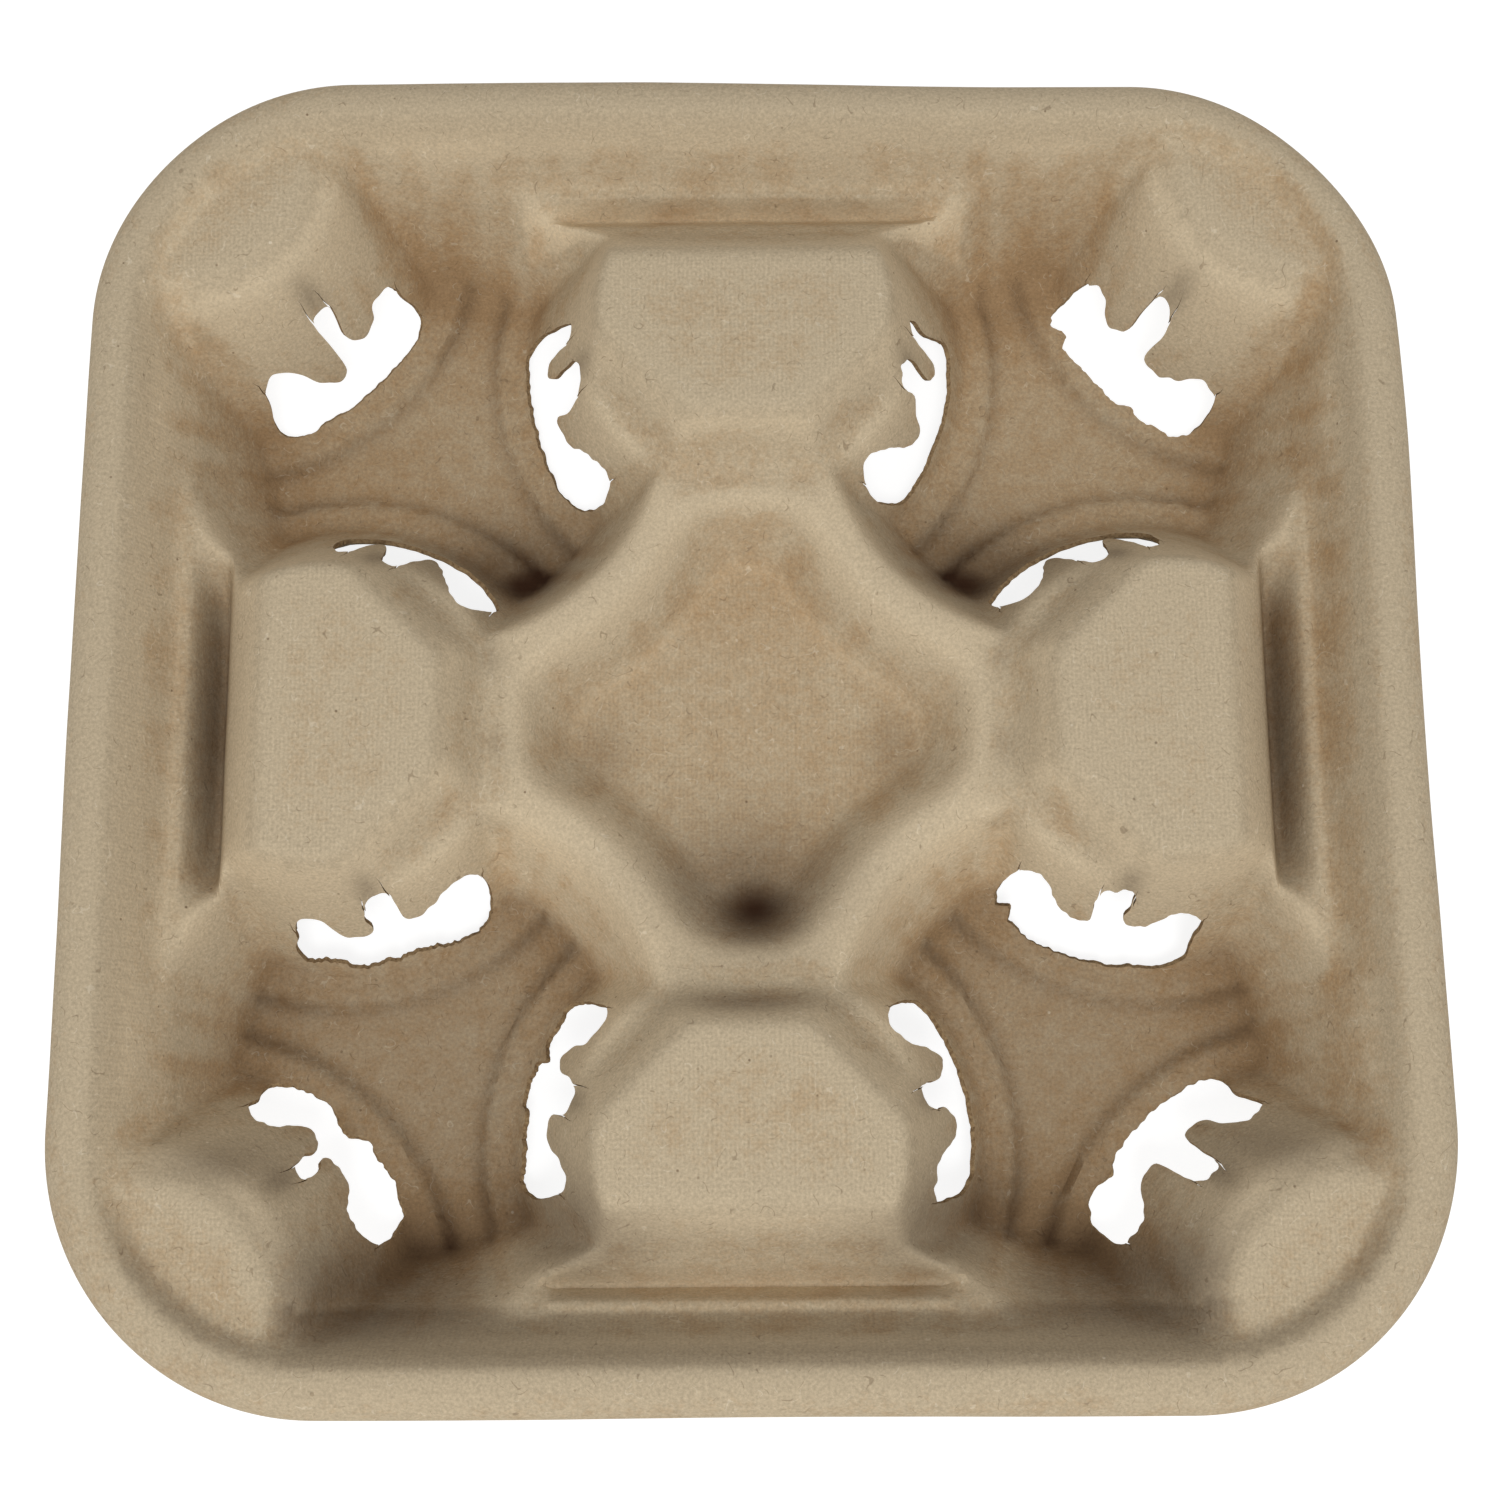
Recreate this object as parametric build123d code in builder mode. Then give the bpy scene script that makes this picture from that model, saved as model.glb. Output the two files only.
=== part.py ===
from build123d import *
from math import atan2, cos, degrees, radians, sin, sqrt, tan
import os

# Moulded-pulp carrier for four cups: one thin sheet of pulp, drafted on every wall.
# The frame is centred under the tray, with Z = 0 at the underside of the cup wells.
# All lengths are in millimetres, and all drafts are in degrees from the vertical.

# Sheet and overall size
pulp_thickness = 2.0
tray_height = 40.0
well_pitch = 108.0
well_margin = 54.0

# Rolled rim with a short skirt
rim_corner_radius = 42.5
rim_roll_radius = 5.6
rim_roll_bands = 3
rim_skirt_depth = 10.5
rim_skirt_draft = 6.0
rim_top_width = 8.8
rim_wall_draft = 20.6
rim_crown_rise = 1.6
rim_crown_draft = 50.0

# Depths of the flats below the rim's top
pad_drop = 4.0
deck_drop = 14.5

# Cup wells: a funnel held by three bulging walls that carry the spring tabs
funnel_floor_radius = 30.0
well_draft = 25.5
bulge_reach = 55.0
bulge_floor_radius = 39.2
bulge_count = 3
bulge_turn = 45.0
rest_height = 1.8
rest_width = 6.3
rest_draft = 35.0

# Slots that free the spring tabs at the foot of each bulge
slot_floor_radius = 38.7
slot_band_width = 5.2
slot_half_angle = 31.0
lobe_width = 7.4
lobe_angle = 12.0
notch_angle = 12.0
notch_tip_radius = 28.0

# Raised pads between the wells, falling to the middle and to the rim
pad_inner_edge = 49.6
pad_inner_draft = 32.0
pad_corner_line = 28.6
pad_flank_draft = 37.9
pad_soft_rise = 1.6
pad_soft_draft = 62.0
corner_soft_rise = 4.0
corner_soft_draft = 52.0

# Channel between each pad and the rim, with a stiffening groove in its floor
channel_width = 8.3
groove_depth = 9.5
groove_inset = 2.2
groove_floor_width = 1.8
groove_half_length = 21.0
groove_end_flare = 4.5
groove_draft = 11.0

# Four-pointed pit in the middle, between the crests that ring the wells
crest_width = 6.0
pit_depth = 13.1
pit_reach = 37.5
pit_draft = 27.0
pit_soft_rise = 1.2
pit_soft_draft = 60.0

# Worked out
quarters = 4
on_base = (Align.CENTER, Align.CENTER, Align.MIN)
well_offset = well_pitch / 2
half_width = well_offset + well_margin
rim_inner_edge = half_width - rim_top_width
pad_level = tray_height - pad_drop
deck_level = tray_height - deck_drop
well_floor_level = pulp_thickness
spare = 2 * pulp_thickness
open_top = tray_height + spare
core_half = half_width - pulp_thickness - rim_roll_radius / 2


def run(rise, draft):
    """How far a drafted wall moves sideways over a rise."""
    return rise * tan(radians(draft))


def spread(skin, draft):
    """How far the foot of a drafted wall moves when the wall and its floor move in by skin."""
    return skin * (1 - sin(radians(draft))) / cos(radians(draft))


def rim_wall_at(level):
    """Distance of the rim's inner wall from the centre plane at a level."""
    return rim_inner_edge - run(tray_height - level, rim_wall_draft)


def stack_bands(block, bands):
    """Extrude the top of a block by (rise, draft) bands, where a negative draft opens out."""
    for rise, draft in bands:
        extrude(block.faces().sort_by(Axis.Z)[-1], amount=rise, taper=draft)


def rim_block(skin):
    """The full block under the rolled rim, with its skirt, before it is hollowed."""
    skirt_half = half_width - skin / cos(radians(rim_skirt_draft))
    skirt_bottom = tray_height - rim_skirt_depth
    roll = rim_roll_radius - skin
    roll_start = tray_height - skin - roll * (1 - sin(radians(rim_skirt_draft)))
    band_turn = (90 - rim_skirt_draft) / rim_roll_bands
    turns = [radians(rim_skirt_draft + band_turn * band) for band in range(rim_roll_bands + 1)]
    bands = []
    for low, high in zip(turns, turns[1:]):
        rise = roll * (sin(high) - sin(low))
        bands.append((rise, degrees(atan2(roll * (cos(low) - cos(high)), rise))))
    with BuildPart() as block:
        with BuildSketch(Plane.XY.offset(skirt_bottom)):
            RectangleRounded(2 * skirt_half, 2 * skirt_half, rim_corner_radius + skirt_half - half_width)
        extrude(amount=roll_start - skirt_bottom, taper=rim_skirt_draft)
        stack_bands(block, bands)
        with BuildSketch(Plane.XY.offset(-spare)):
            RectangleRounded(2 * core_half, 2 * core_half, rim_corner_radius + core_half - half_width)
        extrude(amount=skirt_bottom + spare)
    return block.part


def rim_space(skin, level):
    """The space inside the rim's inner wall and softened crown, from a level upwards."""
    half = rim_wall_at(level) + spread(skin, rim_wall_draft)
    with BuildPart() as space:
        with BuildSketch(Plane.XY.offset(level - skin)):
            RectangleRounded(2 * half, 2 * half, rim_corner_radius + half - half_width)
        extrude(amount=tray_height - rim_crown_rise - level, taper=-rim_wall_draft)
        stack_bands(space, [(rim_crown_rise + spare, -rim_crown_draft)])
    return space.part


def turned(foot, bands):
    """A round block about its own axis from (rise, draft) bands, where a negative draft opens out."""
    points = [(0, 0), (foot, 0)]
    for rise, draft in bands:
        radius, level = points[-1]
        points.append((radius - run(rise, draft), level + rise))
    points.append((0, points[-1][1]))
    with BuildPart() as block:
        with BuildSketch(Plane.XZ):
            with BuildLine():
                Polyline(*points, close=True)
            make_face()
        revolve(axis=Axis.Z)
    return block.part


def bulge(skin, soft_rise, soft_draft):
    """One bulging well wall about its own axis, up to the pad with its softened edge."""
    foot = bulge_floor_radius - spread(skin, well_draft)
    wall_rise = pad_level - well_floor_level - soft_rise
    return turned(foot, [(wall_rise, well_draft), (soft_rise, soft_draft)])


def cup_well(skin):
    """One well about its own axis, from its floor up: a funnel less its three bulging walls."""
    height = open_top - well_floor_level
    mouth = funnel_floor_radius + spread(skin, well_draft)
    softening = [(corner_soft_rise, corner_soft_draft)] + [(pad_soft_rise, pad_soft_draft)] * (bulge_count - 1)
    with PolarLocations(bulge_reach, bulge_count, start_angle=bulge_turn) as bulges:
        places = bulges.locations
    with BuildPart() as well:
        Cone(mouth, mouth + run(height, well_draft), height, align=on_base)
        for place, (rise, draft) in zip(places, softening):
            add(bulge(skin, rise, draft).moved(place), mode=Mode.SUBTRACT)
    return well.part


def cup_rests():
    """The low ledges along the slots of one well, let a little way into the wall behind them."""
    rest = slot_floor_radius + rest_width
    reach = funnel_floor_radius + pulp_thickness / 2
    with BuildPart(Plane.XY.offset(well_floor_level)) as rests:
        with PolarLocations(bulge_reach, bulge_count, start_angle=bulge_turn):
            Cone(rest, rest - run(rest_height, rest_draft), rest_height, align=on_base)
        Cone(reach, reach + run(rest_height, well_draft), rest_height, align=on_base, mode=Mode.INTERSECT)
    return rests.part


def middle_hollow(skin):
    """The low deck round the middle, open towards the wells, between the pads' inner slopes."""
    rise = pad_level - deck_level
    half = pad_inner_edge - run(rise, pad_inner_draft) + spread(skin, pad_inner_draft)
    corridor = pad_corner_line - run(rise, pad_inner_draft) + spread(skin, pad_inner_draft)
    with BuildPart() as hollow:
        with BuildSketch(Plane.XY.offset(deck_level - skin)):
            Rectangle(2 * half, 2 * half)
            for turn in (45, 135):
                Rectangle(2 * sqrt(2) * well_offset, 2 * corridor, rotation=turn)
        extrude(amount=rise - pad_soft_rise, taper=-pad_inner_draft)
        stack_bands(hollow, [(pad_soft_rise + spare, -pad_soft_draft)])
    return hollow.part


def pit(skin):
    """The pit about the middle, from its floor up: a drafted round less the crests that ring the wells."""
    wall_rise = pit_depth - pit_soft_rise
    wall_run = run(wall_rise, pit_draft) + run(pit_soft_rise, pit_soft_draft)
    well_edge = funnel_floor_radius + run(deck_level - well_floor_level, well_draft)
    crest_foot = well_edge + crest_width + wall_run - spread(skin, pit_draft)
    end_foot = pit_reach - wall_run + spread(skin, pit_draft)
    with PolarLocations(sqrt(2) * well_offset, quarters, start_angle=45) as wells:
        places = wells.locations
    with BuildPart() as hollow:
        add(turned(end_foot, [(wall_rise, -pit_draft), (pit_soft_rise, -pit_soft_draft)]))
        for place in places:
            crest = turned(crest_foot, [(wall_rise, pit_draft), (pit_soft_rise, pit_soft_draft)])
            add(crest.moved(place), mode=Mode.SUBTRACT)
    return hollow.part


def side_hollow(skin):
    """The channel between a pad's outer flank and the rim, with its stiffening groove."""
    deck = deck_level - skin
    wall_foot = rim_wall_at(deck_level) + spread(skin, rim_wall_draft)
    foot = rim_wall_at(deck_level) - channel_width - spread(skin, pad_flank_draft)
    rise = pad_level - deck_level
    shoulder = foot - run(rise - pad_soft_rise, pad_flank_draft)
    groove_foot = rim_wall_at(deck_level) - channel_width + groove_inset - spread(skin, groove_draft)
    groove_width = groove_floor_width + 2 * spread(skin, groove_draft)
    groove_half = groove_half_length + spread(skin, groove_draft)
    with BuildPart() as hollow:
        with BuildSketch(Plane.YZ):
            with BuildLine():
                Polyline(
                    (foot, deck),
                    (wall_foot, deck),
                    (wall_foot + run(rise, rim_wall_draft), deck + rise),
                    (shoulder - run(pad_soft_rise, pad_soft_draft), deck + rise),
                    (shoulder, deck + rise - pad_soft_rise),
                    close=True,
                )
            make_face()
        extrude(amount=well_offset, both=True)
        with BuildSketch(Plane.XY.offset(deck - groove_depth)):
            with BuildLine():
                Polyline(
                    (-groove_half, groove_foot),
                    (groove_half, groove_foot),
                    (groove_half + groove_end_flare, groove_foot + groove_width),
                    (-groove_half - groove_end_flare, groove_foot + groove_width),
                    close=True,
                )
            make_face()
        extrude(amount=groove_depth, taper=-groove_draft)
    return hollow.part


def moulded_form(skin):
    """Everything under the moulded surface, with that surface moved inwards by skin."""
    with BuildPart() as open_space:
        with PolarLocations(0, quarters):
            add(cup_well(skin).moved(Location((well_offset, well_offset, well_floor_level - skin))))
            add(side_hollow(skin))
        add(middle_hollow(skin))
        add(pit(skin).moved(Location((0, 0, deck_level - pit_depth - skin))))
        add(rim_space(skin, pad_level))
        add(rim_space(skin, well_floor_level - spare), mode=Mode.INTERSECT)
    with BuildPart() as form:
        add(rim_block(skin))
        add(open_space.part, mode=Mode.SUBTRACT)
    return form.part


def ring_sector(inner, outer, start, sweep):
    """A stretch of a flat ring about the origin."""
    with BuildSketch() as sector:
        with BuildLine():
            outside = CenterArc((0, 0), outer, start, sweep)
            inside = CenterArc((0, 0), inner, start, sweep)
            Line(outside @ 0, inside @ 0)
            Line(outside @ 1, inside @ 1)
        make_face()
    return sector.sketch


def tab_slot():
    """Plan of one slot about its bulge's axis: an arc band, two end lobes and a notch."""
    band_inner = slot_floor_radius - slot_band_width
    lobe_inner = slot_floor_radius - lobe_width
    with BuildSketch() as slot:
        add(ring_sector(band_inner, slot_floor_radius, -slot_half_angle, 2 * slot_half_angle))
        for start in (-slot_half_angle, slot_half_angle - lobe_angle):
            add(ring_sector(lobe_inner, slot_floor_radius, start, lobe_angle))
        add(ring_sector(notch_tip_radius, slot_floor_radius, -notch_angle / 2, notch_angle))
    return slot.sketch


notch_rise = (bulge_floor_radius - notch_tip_radius) / tan(radians(well_draft))
slot_top_level = well_floor_level + notch_rise + pulp_thickness

with BuildPart() as cup_carrier:
    add(moulded_form(0))
    with PolarLocations(0, quarters):
        add(cup_rests().moved(Location((well_offset, well_offset, 0))))
    add(moulded_form(pulp_thickness), mode=Mode.SUBTRACT)
    with BuildSketch():
        with PolarLocations(0, quarters):
            with Locations((well_offset, well_offset)):
                with PolarLocations(bulge_reach, bulge_count, start_angle=bulge_turn):
                    add(tab_slot(), rotation=180)
    extrude(amount=slot_top_level, mode=Mode.SUBTRACT)

cup_carrier.part.label = "cup_carrier"
os.makedirs("parts", exist_ok=True)
export_step(cup_carrier.part, "parts/cup_carrier.step")
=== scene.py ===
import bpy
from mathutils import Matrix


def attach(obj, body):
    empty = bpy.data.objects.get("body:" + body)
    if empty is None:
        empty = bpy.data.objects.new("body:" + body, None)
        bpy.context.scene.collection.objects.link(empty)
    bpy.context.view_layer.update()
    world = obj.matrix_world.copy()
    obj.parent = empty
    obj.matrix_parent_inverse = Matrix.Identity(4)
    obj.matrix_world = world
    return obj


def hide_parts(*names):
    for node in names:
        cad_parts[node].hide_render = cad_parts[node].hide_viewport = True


bl_info = {
    "name": "Moulded-pulp cup carrier",
    "version": (1, 0, 0),
    "blender": (4, 5, 0),
    "location": "3D View > Sidebar > Cup carrier",
    "description": "Dresses the four-cup carrier tray in moulded pulp with torn spring-tab slots",
    "category": "Object",
}

import math

import bpy
import numpy as np
from bpy.props import FloatProperty, FloatVectorProperty, IntProperty, PointerProperty
from mathutils import Matrix, Vector
from mathutils.geometry import delaunay_2d_cdt

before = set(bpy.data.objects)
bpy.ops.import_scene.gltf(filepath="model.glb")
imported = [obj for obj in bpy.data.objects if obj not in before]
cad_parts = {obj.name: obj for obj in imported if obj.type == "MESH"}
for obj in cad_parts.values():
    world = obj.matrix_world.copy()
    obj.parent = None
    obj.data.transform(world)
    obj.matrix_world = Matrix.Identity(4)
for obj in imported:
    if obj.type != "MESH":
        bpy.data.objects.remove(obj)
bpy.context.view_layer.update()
MM = 0.001

# Drafts of the mould's walls from the vertical, in degrees
WELL_DRAFT, SHOULDER_DRAFT, CHANNEL_DRAFT, DECK_DRAFT, PIT_DRAFT = 25.5, 52, 37.9, 32, 32.5
RIM_DRAFT, SKIRT_DRAFT = 20.6, 6

# Other sizes of the mould in plan, in mm
SHOULDER_REACH = 19.8
CHANNEL_WIDTH = 8.3
DECK_HALF, CORRIDOR_HALF = 43.04, 22.04
PIT_RUN = 8.1

# Rise per run where a channel and a groove end
CHANNEL_END, GROOVE_END = 2.2, 1.1

# Grooves of the near and far sides, then of the left and right ones, in mm and degrees: foot's place in the channel,
# drafts of the inner and outer walls, floor's width, half length, lift above the CAD part's groove, and blend
GROOVES = ((4.2, 32, 16, 0.3, 32, 4.0, 1.8), (1.5, 13, 18, 1.2, 21.5, 0.5, 3.0))

# Bands along the grooves that have a finer mesh, in mm: half length, inner and outer reach, step, and margin
FINE_BAND = (31, 83.5, 93.6, 0.4, 0.3)

# A slot's notch and lobes, told from its control points by radius in mm and angle in degrees
NOTCH_RADIUS, NOTCH_ANGLE, LOBE_RADIUS = 30.5, 12, 34.5

# Torn edges, in mm: sheet's thickness there, and its gain for each mm away from the edge
TORN_THICKNESS, THICKNESS_GAIN = 0.8, 0.45

# Warp of the dried sheet, in mm: sway of the rim and its wavelength, swell of the walls and its wavelength
SWAY, SWAY_LENGTH, SWELL, SWELL_LENGTH = 0.15, 90.0, 0.12, 22.0

# Spacing of the forming screen's wires, in mm
WIRE_PITCH = 0.7

# Studio lamps: place and size in metres, power in watts
LAMPS = {"key": ((0.02, -0.46, 1.1), 0.3, 4.55), "fill": ((-0.1, -0.75, 0.55), 0.5, 1.1)}

# White surroundings: the studio's light on the tray, and the table top's own glow and its share of lamp light
STUDIO_LIGHT, TABLE_GLOW, TABLE_SHADE = 0.53, 0.85, 0.32

# Camera: focal length and picture's width in pixels, tilt and turn in degrees, distance in metres
FOCAL_PIXELS, PICTURE_PIXELS = 2095, 1500
CAMERA_TILT, CAMERA_TURN, CAMERA_AWAY = 78.8, -0.42, 0.3665


def linear(code):
    """Linear RGB of an sRGB hex colour."""
    channels = [int(code[i:i + 2], 16) / 255 for i in (1, 3, 5)]
    return tuple(c / 12.92 if c <= 0.04045 else ((c + 0.055) / 1.055) ** 2.4 for c in channels)


def length(name, millimetres, description):
    """A length property, given in millimetres."""
    return FloatProperty(name=name, description=description, default=millimetres * MM, unit="LENGTH", precision=5)


def tint(name, code, description):
    """A colour property, given as an sRGB hex value."""
    return FloatVectorProperty(name=name, description=description, subtype="COLOR", size=3, min=0, max=1,
                               default=linear(code))


class CarrierShape(bpy.types.PropertyGroup):
    """Sizes of the moulded sheet, as in the CAD part."""
    pulp: length("Sheet thickness", 2.0, "Thickness of the pulp sheet")
    half_width: length("Half width", 108.0, "Half of the tray's width over the skirt")
    height: length("Height", 40.0, "Height of the rim above the table")
    corner_radius: length("Rim corner", 42.5, "Corner radius of the rim in plan")
    roll_radius: length("Rim roll", 5.6, "Radius of the rolled rim")
    skirt_depth: length("Skirt depth", 10.5, "Depth of the skirt below the rim's top")
    rim_width: length("Rim width", 8.8, "Width of the rim's top")
    pad_level: length("Pad level", 36.0, "Level of the raised pads")
    deck_level: length("Deck level", 25.5, "Level of the deck and the channels")
    pit_level: length("Pit level", 12.4, "Level of the middle pit's floor")
    pit_reach: length("Pit reach", 37.5, "Reach of the middle pit's four points")
    crest_width: length("Crest width", 6.0, "Width of the crest between the pit and a well")
    groove_level: length("Groove level", 16.0, "Level of the stiffening grooves' floor")
    well_offset: length("Well offset", 54.0, "Distance of a well's axis from each centre plane")
    funnel_radius: length("Funnel radius", 30.0, "Radius of a well's funnel at its floor")
    bulge_reach: length("Bulge reach", 55.0, "Distance of a bulge's axis from its well's axis")
    bulge_radius: length("Bulge radius", 39.2, "Radius of a bulging wall at the floor")
    slot_radius: length("Slot radius", 38.7, "Radius of a slot's floor edge about its bulge's axis")
    ledge_width: length("Ledge width", 6.3, "Width of the low cup ledge beside a slot")
    ledge_height: length("Ledge height", 1.8, "Height of the low cup ledge above the floor")
    grid: length("Mesh step", 1.25, "Spacing of the sheet's mesh away from the slots")
    edge_step: length("Edge step", 0.4, "Spacing of the points along a torn edge")
    tear_depth: length("Tear depth", 0.1, "How far a torn edge strays")
    seed: IntProperty(name="Seed", description="Seed of the sheet's irregularities", default=7)


class CarrierFinish(bpy.types.PropertyGroup):
    """Colours of the pulp and of the stage."""
    pulp: tint("Pulp", "#bfae92", "Dry outer face of the pulp")
    # The dark pulp colour is also painted as shade into hollows and low places, and left off ridges as a highlight.
    pulp_brown_and_shade: tint("Dark pulp", "#ac8f6b", "Browner patches of the pulp")
    fibre_dark: tint("Dark fibre", "#6f5a43", "Bark and ink fibres in the pulp")
    fibre_pale: tint("Pale fibre", "#ddd0b8", "Bleached fibres in the pulp")
    # The scorch colour is partly scorch of the drying mould and mostly painted shade in valleys, grooves, creases and
    # well floors and on the near wall.
    scorch_and_shade: tint("Scorch", "#362113", "Marks where the drying mould browned the pulp")
    torn_dark: tint("Torn shade", "#7d6448", "Hollows of a torn edge")
    torn_pale: tint("Torn fibre", "#b59a74", "Drawn-out fibres of a torn edge")
    floor: tint("Floor", "#f4f4f2", "Table top")


def mm(value):
    """A property's length in millimetres."""
    return value / MM


def soft_max(a, b, blend):
    """The larger of two heights, with their crease rounded over a blend height."""
    near = np.clip(1 - np.abs(a - b) / blend, 0, None)
    return np.maximum(a, b) + near * near * blend / 4


def soft_min(a, b, blend):
    """The smaller of two heights, with their crease rounded over a blend height."""
    return -soft_max(-a, -b, blend)


def slope(draft):
    """Rise per run of a wall whose draft is given from the vertical."""
    return 1 / math.tan(math.radians(draft))


def ramp_up(value, start, run):
    """0 up to a start, then rising to 1 over a run."""
    return np.clip((value - start) / run, 0, 1)


def ramp_down(value, end, run):
    """1 until a run before an end, then falling to 0 at the end."""
    return np.clip((end - value) / run, 0, 1)


def rim_gauge(x, y, shape):
    """Distance outside the inner edge of the rim's top, negative inside the tray."""
    corner = mm(shape.half_width - shape.corner_radius)
    inner = mm(shape.half_width - shape.rim_width) - corner
    dx, dy = np.abs(x) - corner, np.abs(y) - corner
    return np.hypot(np.maximum(dx, 0), np.maximum(dy, 0)) + np.minimum(np.maximum(dx, dy), 0) - inner


def bulge_axes(shape):
    """Axes of the three bulges of the right back well: at the corner, and on its two pads."""
    well, reach = mm(shape.well_offset), mm(shape.bulge_reach)
    turns = [math.radians(45 + 120 * i) for i in range(3)]
    return [(well + reach * math.cos(t), well + reach * math.sin(t)) for t in turns]


def moulded_height(x, y, shape):
    """Height of the sheet's upper face, in millimetres, over plan points in millimetres."""
    x, y = np.abs(x), np.abs(y)
    well, floor = mm(shape.well_offset), mm(shape.pulp)
    pad, deck, pit_level = mm(shape.pad_level), mm(shape.deck_level), mm(shape.pit_level)
    wall = slope(WELL_DRAFT)
    away = np.hypot(x - well, y - well)

    # Cup well: funnel, three bulges and the ledges at their feet
    cup = soft_max(floor + (away - mm(shape.funnel_radius)) * wall, floor, 3.4)
    ledge_edge = mm(shape.slot_radius + shape.ledge_width) - 1.2
    for index, (bx, by) in enumerate(bulge_axes(shape)):
        out = np.hypot(x - bx, y - by)
        ledge = ramp_down(out, ledge_edge + 0.75, 1.5)
        cup = soft_max(cup, floor - 2 + (2 + mm(shape.ledge_height)) * ledge * ledge * (3 - 2 * ledge), 1.0)
        side = floor + (mm(shape.bulge_radius) - out) * wall
        if index == 0:
            side = soft_min(side, pad + (SHOULDER_REACH - out) * slope(SHOULDER_DRAFT), 0.6)
        cup = soft_max(cup, side, 2.4)

    # Channels and grooves beside the rim
    inner = mm(shape.half_width - shape.rim_width)
    foot = inner - (mm(shape.height) - deck) / slope(RIM_DRAFT) - CHANNEL_WIDTH
    low = soft_min(cup, pad, 1.1)
    for (along, across), sizes in zip(((x, y), (y, x)), GROOVES):
        groove_foot, inside_draft, outside_draft, width, half, lift, blend = sizes
        channel = soft_max(deck + (foot - across) * slope(CHANNEL_DRAFT), deck, 2.0)
        channel = soft_max(channel, deck + (along - well) * CHANNEL_END, 3.0)
        low = soft_min(low, channel, 2.2)
        inward, level = across - foot - groove_foot, mm(shape.groove_level) + lift
        groove = level + np.maximum(-inward * slope(inside_draft), (inward - width) * slope(outside_draft))
        groove = soft_max(soft_max(groove, level + (along - half) * GROOVE_END, 6.0), level, 1.2 + width)
        low = soft_min(low, groove, blend)

    # Middle deck with its corridors to the wells
    fall = slope(DECK_DRAFT)
    square = deck + (np.maximum(x, y) - DECK_HALF) * fall
    corridor = deck + np.maximum((np.abs(x - y) / math.sqrt(2) - CORRIDOR_HALF) * fall, x + y - 2 * well)
    low = soft_min(low, soft_max(soft_min(square, corridor, 2.0), deck, 2.6), 2.2)

    # Four-pointed pit between the crests that ring the wells
    lip = mm(shape.funnel_radius) + (deck - floor) / wall
    beyond = soft_max(lip + mm(shape.crest_width) + PIT_RUN - away,
                      np.hypot(x, y) - mm(shape.pit_reach) + PIT_RUN, 5.0)
    low = soft_min(low, soft_max(pit_level + beyond * slope(PIT_DRAFT), pit_level, 2.4), 2.8)

    # Rim wall and crown
    rim = mm(shape.height) + rim_gauge(x, y, shape) * slope(RIM_DRAFT)
    return soft_min(soft_max(low, rim, 3.0), mm(shape.height), 4.0)


def hollow_depth(x, y, shape, spread):
    """How far plan points lie below the sheet's mean level within a spread; the marks paint shade into such hollows
    and a highlight onto ridges.
    """
    reach, step, taps = mm(shape.half_width), 2.0, 16
    axis = np.arange(-reach, reach + step, step)
    gx, gy = np.meshgrid(axis, axis)
    level = moulded_height(gx, gy, shape)
    bell = np.exp(-0.5 * (np.arange(-taps, taps + 1) * step / spread) ** 2)
    mean = np.pad(level, taps, mode="edge")
    for turn in (0, 1):
        mean = np.apply_along_axis(np.convolve, turn, mean, bell / bell.sum(), "valid")
    u, v = (np.clip((at + reach) / step, 0, len(axis) - 1.001) for at in (x, y))
    i, j = u.astype(int), v.astype(int)
    a, b = u - i, v - j
    around = ((mean[j, i] * (1 - a) + mean[j, i + 1] * a) * (1 - b)
              + (mean[j + 1, i] * (1 - a) + mean[j + 1, i + 1] * a) * b)
    return around - moulded_height(x, y, shape)


class Ripple:
    """Smooth seeded unevenness over the plan."""

    def __init__(self, seed, wavelength, count=14):
        rng = np.random.default_rng(seed)
        turn = rng.uniform(0, 2 * np.pi, count)
        pitch = 2 * np.pi / (wavelength * rng.uniform(0.7, 1.6, count))
        self.waves = np.stack([pitch * np.cos(turn), pitch * np.sin(turn), rng.uniform(0, 2 * np.pi, count)])
        self.gain = math.sqrt(2 / count)

    def __call__(self, x, y):
        kx, ky, shift = self.waves
        return self.gain * np.sin(np.multiply.outer(x, kx) + np.multiply.outer(y, ky) + shift).sum(-1)
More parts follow.
